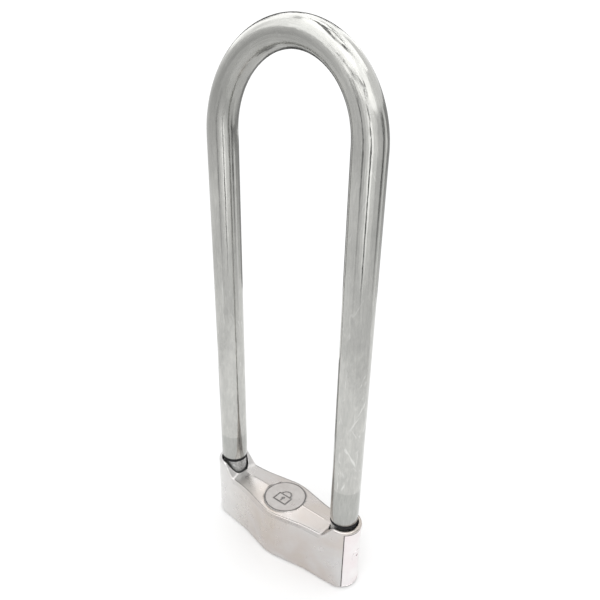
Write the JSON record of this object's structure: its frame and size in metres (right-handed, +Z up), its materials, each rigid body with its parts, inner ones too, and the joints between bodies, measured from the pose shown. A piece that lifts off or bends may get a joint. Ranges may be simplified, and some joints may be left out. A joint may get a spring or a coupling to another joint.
{
  "type": "u lock",
  "caption": "Long U-shaped bicycle lock: round-bar shackle in a cast crossbar with a key cylinder that drives two bolts into the feet.",
  "frame": {"origin": "centre of the crossbar's underside, at the bottom centre of the whole lock", "axes": "+X along the crossbar towards the right leg, +Y towards the back, +Z up along the shackle legs"},
  "size_m": [0.1088, 0.0332, 0.2945],
  "materials": {
    "plated_bar": "bright plated steel bar with faint drawn marks and light handling scratches",
    "satin_casting": "satin nickel plated casting with softly polished edges",
    "black_rubber": "matt",
    "black_nylon": "matt moulded",
    "brass": "machined",
    "hardened_steel": "ground and oiled",
    "spring_wire": "drawn wire"
  },
  "bodies": {
    "crossbar": {"crossbar_body": "satin_casting", "socket_bushes": "black_nylon", "end_plugs": "satin_casting", "cylinder_housing": "brass", "cylinder_cross_pin": "hardened_steel", "anti_drill_pins": "hardened_steel", "face_plate": "hardened_steel", "face_screws": "hardened_steel", "spring_caps": "brass", "pin_spring_1": "spring_wire", "pin_spring_2": "spring_wire", "pin_spring_3": "spring_wire", "pin_spring_4": "spring_wire", "pin_spring_5": "spring_wire"},
    "shackle": {"shackle": "plated_bar", "shoulder_rings": "black_rubber"},
    "plug": {"lock_plug": "brass", "drive_cam": "hardened_steel", "cam_screw": "hardened_steel"},
    "bolt_left": {"lock_bolt_left": "hardened_steel", "bolt_pin_left": "hardened_steel"},
    "bolt_right": {"lock_bolt_right": "hardened_steel", "bolt_pin_right": "hardened_steel"},
    "shutter": {"keyhole_shutter": "black_nylon"},
    "key_tumbler_1": {"key_pin_1": "brass"},
    "driver_tumbler_1": {"driver_pin_1": "hardened_steel"},
    "key_tumbler_2": {"key_pin_2": "brass"},
    "driver_tumbler_2": {"driver_pin_2": "hardened_steel"},
    "key_tumbler_3": {"key_pin_3": "brass"},
    "driver_tumbler_3": {"driver_pin_3": "hardened_steel"},
    "key_tumbler_4": {"key_pin_4": "brass"},
    "driver_tumbler_4": {"driver_pin_4": "hardened_steel"},
    "key_tumbler_5": {"key_pin_5": "brass"},
    "driver_tumbler_5": {"driver_pin_5": "hardened_steel"}
  },
  "joints": [
    {"name": "shackle_lift", "type": "slide", "parent": "crossbar", "child": "shackle", "axis": [0, 0, 1], "range_m": [0, 0.04]},
    {"name": "plug_turn", "type": "hinge", "parent": "crossbar", "child": "plug", "pos_m": [0, 0, 0.0018], "axis": [0, 0, 1], "range_deg": [0, 90]},
    {"name": "bolt_left_slide", "type": "slide", "parent": "crossbar", "child": "bolt_left", "axis": [-1, 0, 0], "range_m": [0, 0.0042]},
    {"name": "bolt_right_slide", "type": "slide", "parent": "crossbar", "child": "bolt_right", "axis": [1, 0, 0], "range_m": [0, 0.0042]},
    {"name": "shutter_slide", "type": "slide", "parent": "crossbar", "child": "shutter", "axis": [1, 0, 0], "range_m": [0, 0.0078]},
    {"name": "key_pin_1_slide", "type": "slide", "parent": "plug", "child": "key_tumbler_1", "axis": [0, 1, 0], "range_m": [-0.0014, 0]},
    {"name": "key_pin_2_slide", "type": "slide", "parent": "plug", "child": "key_tumbler_2", "axis": [0, 1, 0], "range_m": [-0.0014, 0]},
    {"name": "key_pin_3_slide", "type": "slide", "parent": "plug", "child": "key_tumbler_3", "axis": [0, 1, 0], "range_m": [-0.0014, 0]},
    {"name": "key_pin_4_slide", "type": "slide", "parent": "plug", "child": "key_tumbler_4", "axis": [0, 1, 0], "range_m": [-0.0014, 0]},
    {"name": "key_pin_5_slide", "type": "slide", "parent": "plug", "child": "key_tumbler_5", "axis": [0, 1, 0], "range_m": [-0.0014, 0]},
    {"name": "driver_pin_1_slide", "type": "slide", "parent": "crossbar", "child": "driver_tumbler_1", "axis": [0, 1, 0], "range_m": [0, 0.0014], "stiffness_N_per_m": 120, "springref_m": -0.0008, "deforming": ["pin_spring_1"]},
    {"name": "driver_pin_2_slide", "type": "slide", "parent": "crossbar", "child": "driver_tumbler_2", "axis": [0, 1, 0], "range_m": [0, 0.0014], "stiffness_N_per_m": 120, "springref_m": -0.0008, "deforming": ["pin_spring_2"]},
    {"name": "driver_pin_3_slide", "type": "slide", "parent": "crossbar", "child": "driver_tumbler_3", "axis": [0, 1, 0], "range_m": [0, 0.0014], "stiffness_N_per_m": 120, "springref_m": -0.0008, "deforming": ["pin_spring_3"]},
    {"name": "driver_pin_4_slide", "type": "slide", "parent": "crossbar", "child": "driver_tumbler_4", "axis": [0, 1, 0], "range_m": [0, 0.0014], "stiffness_N_per_m": 120, "springref_m": -0.0008, "deforming": ["pin_spring_4"]},
    {"name": "driver_pin_5_slide", "type": "slide", "parent": "crossbar", "child": "driver_tumbler_5", "axis": [0, 1, 0], "range_m": [0, 0.0014], "stiffness_N_per_m": 120, "springref_m": -0.0008, "deforming": ["pin_spring_5"]}
  ],
  "couplings": [
    {"joint": "bolt_left_slide", "follows": "plug_turn", "m_per_rad": 0.0026738},
    {"joint": "bolt_right_slide", "follows": "plug_turn", "m_per_rad": 0.0026738}
  ]
}
